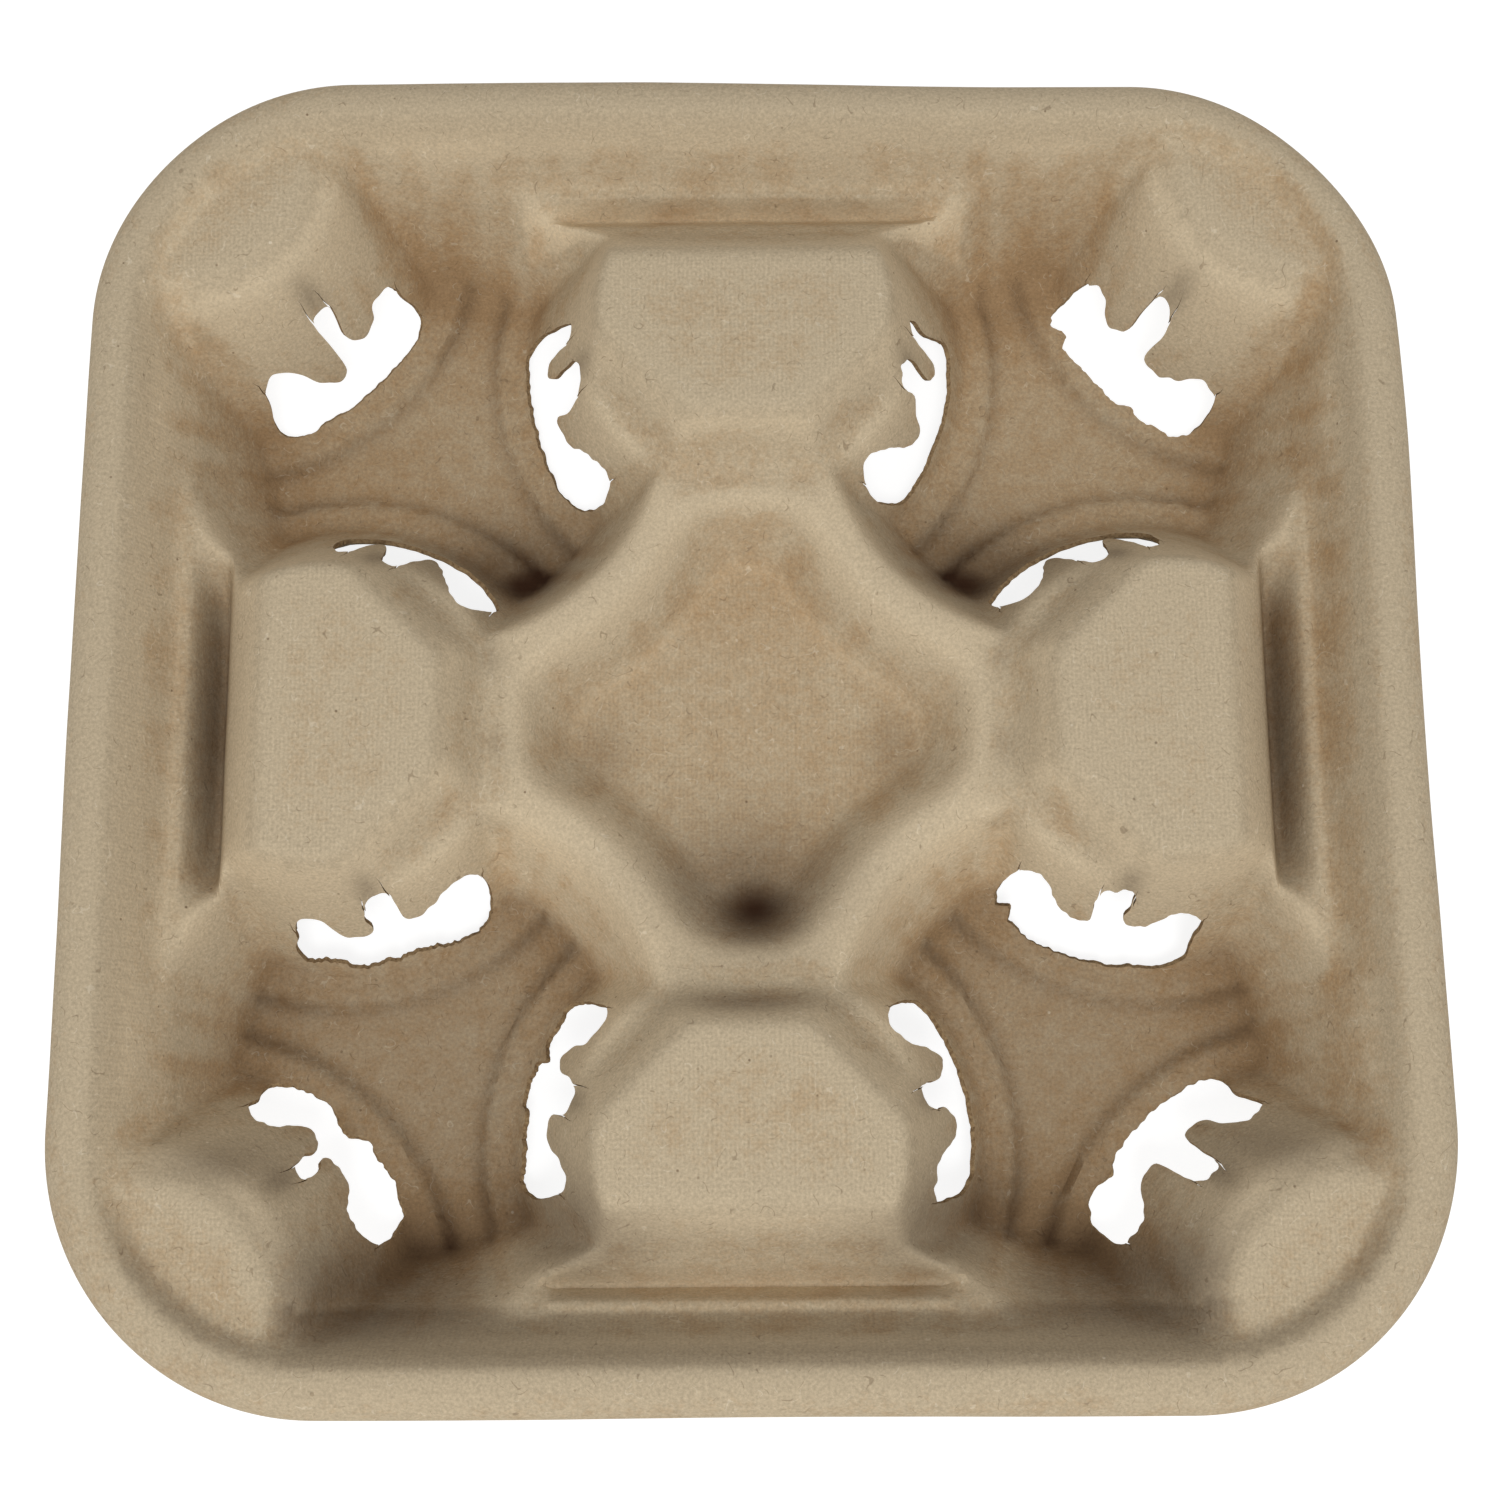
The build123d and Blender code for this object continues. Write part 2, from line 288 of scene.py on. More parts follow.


# Slot edges about each bulge's axis, as (angle in degrees, radius in mm) with angle 0 towards the cup. The wall's
# edge, at the smaller radii, shows two spring tabs with a notch between them; the floor's edge is nearly an arc.
# The slots go round the tray from the right back well, each well with its corner slot first. The third and the
# fifth, half hidden behind the side pads, are drawn one by one; the others follow the photograph's outlines.
SLOT_EDGES = (
    ((-25.2, 34.4), (-22.1, 33.3), (-17.6, 33.2), (-11.4, 34.8), (-7.2, 34.3), (-5.5, 33.4), (-5.4, 29.4),
     (-1.7, 28.6), (4.4, 29.9), (4.3, 32.3), (3.2, 34), (3.9, 34.6), (11, 35.2), (20.6, 33.4), (23.4, 33.5),
     (27.1, 34.4), (28.2, 35.7), (26.3, 37.9), (24.6, 39.5), (20.7, 41), (15.5, 40.3), (13.8, 41), (12.3, 40.6),
     (10.2, 40.6), (8.6, 39.3), (4.6, 41), (-0.4, 40.3), (-3, 40.6), (-7, 40.2), (-13.7, 41.2), (-15.6, 40.8),
     (-17.3, 39.2), (-19.3, 39.5), (-21.1, 40.9), (-23.9, 40.2), (-25, 39.3), (-26.7, 36.4)),
    ((14.9, 26.9), (16.7, 28.4), (14.3, 29.9), (18.5, 34.2), (18.5, 34.8), (17.5, 35.2), (14.2, 35.6), (4.4, 36.2),
     (-4.4, 36.4), (-19, 37.1), (-27.7, 37.3), (-30.3, 36.8), (-35.4, 35.1), (-37.4, 32.4), (-36.4, 30.3),
     (-33.5, 29.8), (-25.7, 30.5), (-20.7, 32.5), (-16, 33.2), (-11.8, 33.4), (-10.2, 31.5), (-6.9, 30.5), (-6.6, 30),
     (-8.3, 28.5), (-6.9, 27.7), (-4.6, 27.5), (-3.3, 26.4), (2.6, 27.9), (1.9, 31), (2.5, 31.9), (5.4, 32.6),
     (7.1, 32.6), (8.3, 32.2), (8.9, 31.3), (9.8, 27.8)),
    ((-18, 31), (-16, 28.3), (-11, 28), (-8.5, 31), (-5, 33.6), (-2, 33), (0, 29.5), (3, 27.2), (8, 27.2), (11, 29.5),
     (12.5, 33.6), (16, 33.4), (20, 31.5), (24, 29.8), (30, 29.4), (34, 30.2), (36.5, 32.8), (35, 35.2), (22, 35.8),
     (12, 35.4), (4, 35.4), (-8, 35.2), (-17, 34.2)),
    ((22.5, 32.7), (24.3, 34.1), (23.4, 35), (24.3, 36.8), (23, 37.9), (21.3, 38.5), (15, 38.9), (3.1, 38.6),
     (-9.2, 38.8), (-15.6, 38.3), (-19, 38.9), (-24.2, 38.9), (-26.9, 38.5), (-28.8, 37.6), (-29.5, 36.3), (-28, 34.8),
     (-28.6, 33.2), (-24, 31.8), (-18.5, 32.3), (-11.7, 34.8), (-9.1, 35.4), (-5.3, 35.5), (-3.1, 34.9), (-4.9, 29.7),
     (-1.8, 28.9), (3.9, 29.3), (3.6, 30.4), (1.4, 32.3), (2.7, 33.3), (5.7, 33.9), (8.9, 33.9), (12.3, 33.3),
     (14, 32.5)),
    ((-37, 32), (-34, 28.2), (-28, 28.4), (-22, 30), (-16, 32.2), (-11, 33.6), (-9.5, 31), (-8, 27.3), (-4, 26.8),
     (-1, 28.3), (1.5, 32), (5, 33.4), (8, 31), (10, 28.3), (14, 28), (18, 31), (17, 34.2), (6, 35), (-4, 35.2),
     (-14, 35.4), (-24, 35.5), (-36, 34.2)),
    ((-17.9, 28.9), (-16, 28.2), (-12.2, 28.7), (-11.4, 29.5), (-11.4, 32.9), (-9.8, 33.6), (-8.2, 33.7), (-6.1, 33.3),
     (-4.9, 32.6), (-4.1, 28.8), (-1.9, 27.9), (1.6, 27.9), (7.5, 29.5), (7.8, 31.8), (5.2, 33.7), (6.2, 34.1),
     (13.9, 34.2), (20.7, 32.6), (30, 32.2), (32.5, 32.8), (32.9, 35.6), (31, 37.1), (26.4, 38.7), (21.4, 39.1),
     (15.8, 38.9), (6.6, 38.5), (-5, 38.3), (-18.1, 38.5), (-22.4, 37.6), (-22.4, 34.2)),
    ((25, 38), (19.9, 39.1), (10.9, 39.4), (7.5, 38.9), (1.6, 37.5), (-0.8, 38.6), (-4.2, 39.4), (-6, 38.8),
     (-13.9, 39.2), (-23.2, 38.6), (-26.4, 37.2), (-28.2, 36.1), (-29.4, 34.1), (-24.3, 32.4), (-20.6, 32),
     (-15.6, 32.4), (-10.6, 34), (-4.6, 34), (-1.3, 33.9), (-0.4, 33.3), (-3.5, 32), (-3.7, 30.1), (-2.3, 29.7),
     (2.1, 30.1), (2.2, 31.1), (3.6, 32.1), (2, 33.1), (2.1, 33.8), (7.3, 35.2), (12.1, 34.2), (15.9, 32.3),
     (20.8, 32.2), (24.6, 33.2), (26.3, 34.1), (24.5, 35.3), (25.8, 36.8)),
    ((-26.7, 36.6), (-29.9, 32.4), (-30.1, 31.5), (-29.1, 30.5), (-26.7, 29.7), (-17.4, 30.1), (-14, 32.6),
     (-10.1, 33.3), (-7.4, 32.3), (-5.1, 28.6), (-2.1, 27.8), (4.5, 28.7), (5.4, 29.6), (5.3, 31.2), (8.1, 32.1),
     (14, 31.7), (19.1, 29.2), (25.2, 28.4), (28.3, 29), (28.8, 30.6), (29.2, 34.7), (26.9, 36.7), (24.4, 37.7),
     (22.4, 37.7), (20, 36.9), (10.4, 36.9), (5.7, 36.7), (4, 37.9), (-2.8, 37.9), (-5.3, 37.4), (-6.9, 37.8),
     (-8.5, 35.5), (-10.6, 36.8), (-13.5, 37.6), (-17.8, 37.2), (-22.7, 38)),
    ((30.3, 32.3), (31.6, 33.7), (31.1, 34.9), (26.3, 37.9), (21.6, 38.6), (14.6, 38.3), (4.8, 36.9), (-1.4, 37.5),
     (-3, 36.9), (-7, 37.6), (-12.7, 37.5), (-14.1, 36.7), (-17.6, 36.4), (-24.5, 37), (-26.9, 35.4), (-26.8, 34.7),
     (-25.6, 33.9), (-26.4, 33), (-25.5, 31.5), (-23.5, 30.8), (-20, 30.6), (-16.5, 31.2), (-11.2, 33.5), (-4.6, 33.2),
     (-3.1, 32.5), (-4.9, 31.4), (-3.2, 30.4), (-2.9, 29.5), (0.5, 28.4), (2.8, 28.4), (6.2, 29.2), (5.8, 32.3),
     (9.8, 33), (14.3, 32.6), (22.7, 31.5)),
    ((-21.2, 39.1), (-23.8, 38), (-23.4, 35.3), (-26, 34.1), (-27.2, 32.6), (-26.8, 32.1), (-19.5, 30.9),
     (-13.5, 32.5), (-11.7, 34.2), (-6.5, 34.5), (-3.6, 33.9), (-3.9, 29.5), (-2.5, 28.6), (3.4, 28.4), (5.9, 29.5),
     (6.4, 30.4), (5.8, 34), (6.5, 34.6), (13.4, 34.9), (17.3, 33.3), (21.4, 32.5), (30.1, 33.5), (30.5, 35.3),
     (27.9, 38.6), (24.5, 39), (22.3, 39.9), (17.9, 39.5), (14.5, 38.3), (10.1, 39.4), (3.4, 39.4), (-5.9, 39.5),
     (-16.4, 39.3)),
    ((-31.4, 32.6), (-24.7, 31.1), (-16.1, 33.3), (-10.7, 34), (-5.3, 33.5), (-7.3, 31.3), (-7.2, 30.2), (-6, 29.3),
     (-2.8, 29.1), (-0.6, 28.2), (2.3, 28.3), (3.9, 29.2), (3.9, 30.2), (2.2, 31.8), (3.9, 32.6), (10.4, 32.7),
     (16.4, 30.6), (23.7, 31.2), (26.7, 32.4), (26.2, 33.6), (24.5, 34.2), (23.3, 37.3), (19.3, 38.1), (16.1, 38.3),
     (3, 38.7), (-8.5, 39), (-18.5, 39.2), (-22.2, 38.4), (-24.2, 38.7), (-25.1, 37.1), (-26.5, 36.9), (-29.1, 38.1),
     (-31, 37.1), (-31.6, 35.5)),
    ((28.3, 34.7), (25.9, 36.2), (22.1, 36.8), (11.6, 36.6), (1.6, 36.4), (-11.3, 36.5), (-22.5, 36.3), (-27.1, 35.3),
     (-29.9, 33.4), (-32.9, 30), (-30.8, 29.4), (-29.1, 28.4), (-26.8, 29.2), (-25, 29.1), (-23.4, 28.7),
     (-20.9, 28.8), (-17.4, 29.8), (-13.5, 32.1), (-9.9, 32.8), (-7.5, 32.5), (-5, 31.6), (-3.4, 30.7), (-4.8, 30),
     (-4.5, 28.9), (-0.5, 27.4), (2.8, 27.3), (4.1, 27.8), (4.5, 32), (9.3, 34.1), (14.1, 31.9), (17.3, 29.6),
     (24.4, 28.3), (27, 28.7), (30.6, 31)),
)

# Slots whose floor edge is frayed
RAGGED = (0, 7, 8)

# Dark marks, in mm: place, reach to each side and strength. They are partly scorch of the drying mould and small
# rubs, and mostly painted shade in the valleys below the pads and beside the wells, at the near corners and in the
# side grooves
SCORCH_AND_SHADE_SPOTS = ((1.2, -29.7, 8.6, 7.2, 1.0), (0.5, -26.0, 16.0, 11.0, 0.5), (0, -46.2, 13.0, 2.3, 0.5),
            (38.5, 28.6, 8.0, 5.2, 0.9), (-38.5, 29.0, 8.0, 5.2, 0.9), (42, 31, 15.0, 10.0, 0.58),
            (-42, 31, 15.0, 10.0, 0.58), (-29, -80, 12.0, 9.0, 0.52), (31, -80, 13.0, 9.0, 0.52),
            (-61, -89, 20.0, 9.0, 0.58), (63, -88, 20.0, 9.0, 0.58),
            (-82, -70.5, 9.0, 4.0, 0.42), (82, -69, 11.0, 5.0, 0.42), (-24.5, -2.5, 5.0, 6.0, 0.22),
            (24.5, -2.0, 5.0, 6.0, 0.22), (-87.5, 0, 4.0, 24.0, 0.42), (87.5, 0, 4.0, 24.0, 0.42),
            (-42, 10.5, 1.6, 3.0, 0.25), (-41, -3.7, 2.0, 3.0, 0.2),
            (42, 10.5, 1.6, 3.0, 0.25), (42, -4.5, 2.0, 3.5, 0.2))

# Brown stains of the walls, given as the marks are
STAINS = ((-57, 88, 17.0, 10.0, 0.42), (52, 88, 17.0, 10.0, 0.38), (-90, 64, 8.0, 17.0, 0.28),
          (90, 60, 8.0, 17.0, 0.24), (-60, -84, 18.0, 10.0, 0.45), (62, -84, 18.0, 10.0, 0.45),
          (-88, -58, 8.0, 12.0, 0.2), (89, -56, 8.0, 12.0, 0.2))

# Where the rim is out of square, in mm: place, reach and shift
DENTS = ((97, 97, 30, -1.8, -1.6), (-97, 97, 26, 0.6, -0.5), (-97, -97, 26, 0.2, 0.2), (97, -97, 28, 0.6, -0.6),
         (52, 108, 42, 0.0, -1.1), (-10, -108, 80, 0.0, -0.9))


def spot(x, y, cx, cy, wide, deep):
    """A soft spot in plan, 1 in its middle."""
    return np.exp(-((x - cx) / wide) ** 2 - ((y - cy) / deep) ** 2)


def edge_waves(place, rng, shortest, longest, count):
    """Sum of seeded waves along an edge, of lengths in millimetres."""
    return sum(np.sin(2 * np.pi * place / rng.uniform(shortest, longest) + rng.uniform(0, 6.28))
               for _ in range(count))


def slot_outline(index, shape):
    """One torn slot about its bulge's axis, as plan points with angle 0 towards the cup."""
    rng = np.random.default_rng(100 * shape.seed + index)
    edge = SLOT_EDGES[index]
    points = np.array([(r * math.cos(math.radians(a)), r * math.sin(math.radians(a))) for a, r in edge])
    for share in (0.2, 0.25):
        after = np.roll(points, -1, axis=0)
        points = np.stack([points + share * (after - points), after + share * (points - after)], 1).reshape(-1, 2)
    points = even_points(points, mm(shape.edge_step))
    along = points - np.roll(points, 1, axis=0)
    normal = np.stack([along[:, 1], -along[:, 0]], 1) / np.linalg.norm(along, axis=1, keepdims=True)
    place = np.arange(len(points)) * mm(shape.edge_step)
    stray = edge_waves(place, rng, 1.5, 7.0, 7) / 2.6
    floor_side = ramp_up(np.linalg.norm(points, axis=1), 35, 1.5)
    frayed = edge_waves(place, rng, 0.95, 2.2, 6) / 2.4
    stray += (0.9 if index in RAGGED else 0.25) * floor_side * frayed
    return crack_edge(points + normal * (mm(shape.tear_depth) * stray)[:, None], edge, rng)


def crack_edge(points, edge, rng):
    """The outline with fine cracks that run up the wall from the notch's corners and out from the lobes."""
    notch = [(a, r) for a, r in edge if r < NOTCH_RADIUS and abs(a) < NOTCH_ANGLE]
    lobes = [(a, r) for a, r in edge if r < LOBE_RADIUS]
    starts = [(*min(notch), 0.0), (*max(notch), 0.0), (*min(lobes), -1.0), (*max(lobes), 1.0)]
    for angle, radius, turn in starts:
        facing = math.radians(angle)
        ahead = np.array((-math.cos(facing), -math.sin(facing)))
        sideways = np.array((-math.sin(facing), math.cos(facing)))
        heading = ahead + turn * 0.9 * sideways + rng.uniform(-0.25, 0.25) * sideways
        heading = heading / np.linalg.norm(heading)
        across = np.array((-heading[1], heading[0]))
        at = int(np.argmin(np.linalg.norm(points + radius * ahead, axis=1)))
        reach = rng.uniform(1.2, 2.0) if turn else rng.uniform(1.8, 3.2)
        steps = np.linspace(0, 1, 7)[:, None]
        bend = 0.12 * np.sin(steps * rng.uniform(4, 9))
        middle = points[at] + heading * reach * steps + across * bend
        width = across * 0.13 * (1 - steps)
        sides = (middle[:-1] + width[:-1], middle[:-1] - width[:-1])
        back = points[at - 1] - points[at]
        first, last = sides if across @ back > 0 else sides[::-1]
        points = np.vstack([points[:at], first, middle[-1:], last[::-1], points[at + 1:]])
    return points


def even_points(points, step):
    """A closed polyline resampled at an even step."""
    closed = np.vstack([points, points[:1]])
    reach = np.concatenate([[0], np.cumsum(np.linalg.norm(np.diff(closed, axis=0), axis=1))])
    count = max(8, int(reach[-1] / step))
    at = np.linspace(0, reach[-1], count, endpoint=False)
    return np.stack([np.interp(at, reach, closed[:, i]) for i in (0, 1)], 1)


def inside(points, outline):
    """Which plan points lie inside a closed outline."""
    x, y = points[:, 0:1], points[:, 1:2]
    a, b = outline, np.roll(outline, -1, axis=0)
    spans = (a[:, 1] > y) != (b[:, 1] > y)
    rise = np.where(np.abs(b[:, 1] - a[:, 1]) < 1e-9, 1e-9, b[:, 1] - a[:, 1])
    return (spans & (x < a[:, 0] + (y - a[:, 1]) * (b[:, 0] - a[:, 0]) / rise)).sum(1) % 2 == 1


def tray_slots(shape):
    """The twelve slots in plan, three to a well, from the right back well round to the right front one."""
    outlines = []
    for quarter in range(4):
        turn = math.radians(90 * quarter)
        spin = np.array([[math.cos(turn), math.sin(turn)], [-math.sin(turn), math.cos(turn)]])
        for index, (bx, by) in enumerate(bulge_axes(shape)):
            face = math.radians(45 + 120 * index + 180)
            ahead = np.array([[math.cos(face), math.sin(face)], [-math.sin(face), math.cos(face)]])
            outlines.append((slot_outline(3 * quarter + index, shape) @ ahead + (bx, by)) @ spin)
    return outlines


def rounded_square(half, corner_centre, count):
    """Points of a rounded square in plan with their outward directions, by even turns of its outline."""
    radius, run = half - corner_centre, corner_centre
    per = count // 4
    straight = max(2, round(per * 2 * run / (2 * run + radius * np.pi / 2)))
    points, outs = [], []
    for quarter in range(4):
        turn = quarter * np.pi / 2
        spin = np.array([[math.cos(turn), math.sin(turn)], [-math.sin(turn), math.cos(turn)]])
        side = np.stack([np.full(straight, half), np.linspace(-run, run, straight, endpoint=False)], 1)
        bend = np.linspace(0, np.pi / 2, per - straight, endpoint=False)
        arc = np.stack([np.cos(bend), np.sin(bend)], 1)
        points.append(np.vstack([side, corner_centre + radius * arc]) @ spin)
        outs.append(np.vstack([np.tile((1.0, 0.0), (straight, 1)), arc]) @ spin)
    return np.vstack(points), np.vstack(outs)


def sheet_plan(shape, slots, border):
    """Plan points and triangles of the sheet inside a border, with its slots left open."""
    step = mm(shape.grid)
    count = int(2 * mm(shape.half_width) / step)
    axis = (np.arange(count) - (count - 1) / 2) * step
    gx, gy = np.meshgrid(axis, axis)
    gx = gx + np.where(np.arange(count)[:, None] % 2, 0.25 * step, -0.25 * step)
    grid = np.stack([gx.ravel(), gy.ravel()], 1)
    grid = grid[inside(grid, border[::4]) & (rim_gauge(grid[:, 0], grid[:, 1], shape) < 0.6)]
    half, inner, outer, fine, margin = FINE_BAND
    along, across = np.meshgrid(np.arange(-half, half + 0.1, step), np.arange(inner, outer, fine))
    low, high = np.array((0, inner - margin)), np.array((half + fine, outer + margin))
    for turn in (1, -1):
        grid = grid[~((np.abs(grid) < high[::turn]) & (np.abs(grid) > low[::turn])).all(1)]
    for side in (-1, 1):
        grid = np.vstack([grid, np.stack([along.ravel(), side * across.ravel()], 1),
                          np.stack([side * across.ravel(), along.ravel()], 1)])
    for outline in slots:
        low, high = outline.min(0) - 2, outline.max(0) + 2
        near = np.flatnonzero(((grid > low) & (grid < high)).all(1))
        gap = np.linalg.norm(grid[near, None] - outline[None], axis=2).min(1)
        drop = inside(grid[near], outline) | (gap < 0.55 * step)
        grid = np.delete(grid, near[drop], axis=0)
    points, edges = [grid], []
    start = len(grid)
    for outline in [border, *slots]:
        ids = np.arange(len(outline)) + start
        edges += list(zip(ids.tolist(), np.roll(ids, -1).tolist()))
        points.append(outline)
        start += len(outline)
    points = np.vstack(points)
    verts, _, faces, _, _, _ = delaunay_2d_cdt([Vector(p) for p in points], edges, [], 0, 1e-6, False)
    plan = np.array([(v.x, v.y) for v in verts])
    faces = np.array([f for f in faces if len(f) == 3])
    middles = plan[faces].mean(1)
    keep = inside(middles, border)
    for outline in slots:
        low, high = outline.min(0), outline.max(0)
        near = np.flatnonzero(((middles > low) & (middles < high)).all(1))
        keep[near[inside(middles[near], outline)]] = False
    faces = faces[keep]
    a, b, c = plan[faces[:, 0]], plan[faces[:, 1]], plan[faces[:, 2]]
    turn = (b[:, 0] - a[:, 0]) * (c[:, 1] - a[:, 1]) - (b[:, 1] - a[:, 1]) * (c[:, 0] - a[:, 0])
    faces = faces[np.abs(turn) > 1e-7]
    turn = turn[np.abs(turn) > 1e-7]
    faces[turn < 0] = faces[turn < 0][:, ::-1]
    return plan, faces


def sheet_normals(plan, shape):
    """Upward normals of the moulded face over plan points."""
    d = 0.15
    x, y = plan[:, 0], plan[:, 1]
    dzx = (moulded_height(x + d, y, shape) - moulded_height(x - d, y, shape)) / (2 * d)
    dzy = (moulded_height(x, y + d, shape) - moulded_height(x, y - d, shape)) / (2 * d)
    normal = np.stack([-dzx, -dzy, np.ones_like(x)], 1)
    return normal / np.linalg.norm(normal, axis=1, keepdims=True)


def rim_section(shape):
    """Outline of the rim from its flat top over the roll and down the skirt: offset, level and normal."""
    half, top, roll = mm(shape.half_width), mm(shape.height), mm(shape.roll_radius)
    draft = math.radians(SKIRT_DRAFT)
    bottom = top - mm(shape.skirt_depth)
    start = top - roll * (1 - math.sin(draft))
    edge = half - (start - bottom) * math.tan(draft)
    centre = edge - roll * math.cos(draft)
    section = []
    for turn in np.linspace(np.pi / 2, draft, 10):
        section.append((centre + roll * math.cos(turn), top - roll + roll * math.sin(turn),
                        math.cos(turn), math.sin(turn)))
    for share in (0.35, 0.7, 1.0):
        section.append((edge + share * (half - edge), start + share * (bottom - start),
                        math.cos(draft), math.sin(draft)))
    return section


def settle(points, shape):
    """Slight warp of the finished sheet, as its drying leaves it."""
    x, y = points[:, 0].copy(), points[:, 1].copy()
    out = ramp_up(rim_gauge(x, y, shape), -12, 20)
    for cx, cy, reach, dx, dy in DENTS:
        share = out * np.exp(-((x - cx) ** 2 + (y - cy) ** 2) / reach ** 2)
        points[:, 0] += dx * share
        points[:, 1] += dy * share
    for axis in (0, 1):
        points[:, axis] += out * SWAY * Ripple(shape.seed + 3 + axis, SWAY_LENGTH)(x, y)
    rise = ramp_up(points[:, 2], 0, mm(shape.height))
    points[:, 2] += SWELL * rise * (1 - rise) * 4 * Ripple(shape.seed + 5, SWELL_LENGTH)(x, y)
    return points


def build_sheet(shape):
    """The whole pulp sheet: its vertices, its upper, lower and edge faces, and the upper face's normals."""
    corner = mm(shape.half_width - shape.corner_radius)
    border_half = mm(shape.half_width - shape.rim_width) + 1.4
    border, outs = rounded_square(border_half, corner, 600)
    slots = tray_slots(shape)
    plan, faces = sheet_plan(shape, slots, border)
    top = np.column_stack([plan, moulded_height(plan[:, 0], plan[:, 1], shape)])
    normal = sheet_normals(plan, shape)
    first = np.array([int(np.argmin(np.linalg.norm(plan - p, axis=1))) for p in border])

    rings, ring_normals, faces = [], [], [tuple(f) for f in faces.tolist()]
    count, last = len(border), first
    for offset, z, out, up in rim_section(shape):
        ring = border + outs * (offset - border_half)
        ids = len(top) + len(rings) * count + np.arange(count)
        rings.append(np.column_stack([ring, np.full(count, z)]))
        ring_normals.append(np.column_stack([outs * out, np.full(count, up)]))
        ahead_last, ahead = np.roll(last, -1), np.roll(ids, -1)
        faces += list(zip(last.tolist(), ids.tolist(), ahead.tolist(), ahead_last.tolist()))
        last = ids
    top = np.vstack([top, *rings])
    normal = np.vstack([normal, *ring_normals])
    thin = np.full(len(top), mm(shape.pulp))
    for outline in slots:
        near = np.flatnonzero(((top[:, :2] > outline.min(0) - 4) & (top[:, :2] < outline.max(0) + 4)).all(1))
        gap = np.linalg.norm(top[near, None, :2] - outline[None], axis=2).min(1)
        thin[near] = np.minimum(thin[near], TORN_THICKNESS + THICKNESS_GAIN * gap)
    under = top - normal * thin[:, None]
    total = len(top)
    open_edges = {}
    for face in faces:
        for a, b in zip(face, face[1:] + face[:1]):
            if (b, a) in open_edges:
                del open_edges[(b, a)]
            else:
                open_edges[(a, b)] = True
    walls = [(b, a, a + total, b + total) for a, b in open_edges]
    flipped = [tuple(i + total for i in reversed(face)) for face in faces]
    points = settle(np.vstack([top, under]), shape)
    points[:, 2] = np.maximum(points[:, 2], 0)
    return points, faces, flipped, walls, normal


def add_node(tree, kind, inputs=(), **settings):
    """Add a shader node with its settings, and link or set its inputs."""
    made = tree.nodes.new(kind)
    for name, value in settings.items():
        setattr(made, name, value)
    for key, value in dict(inputs).items():
        if isinstance(value, bpy.types.NodeSocket):
            tree.links.new(value, made.inputs[key])
        else:
            made.inputs[key].default_value = value
    return made


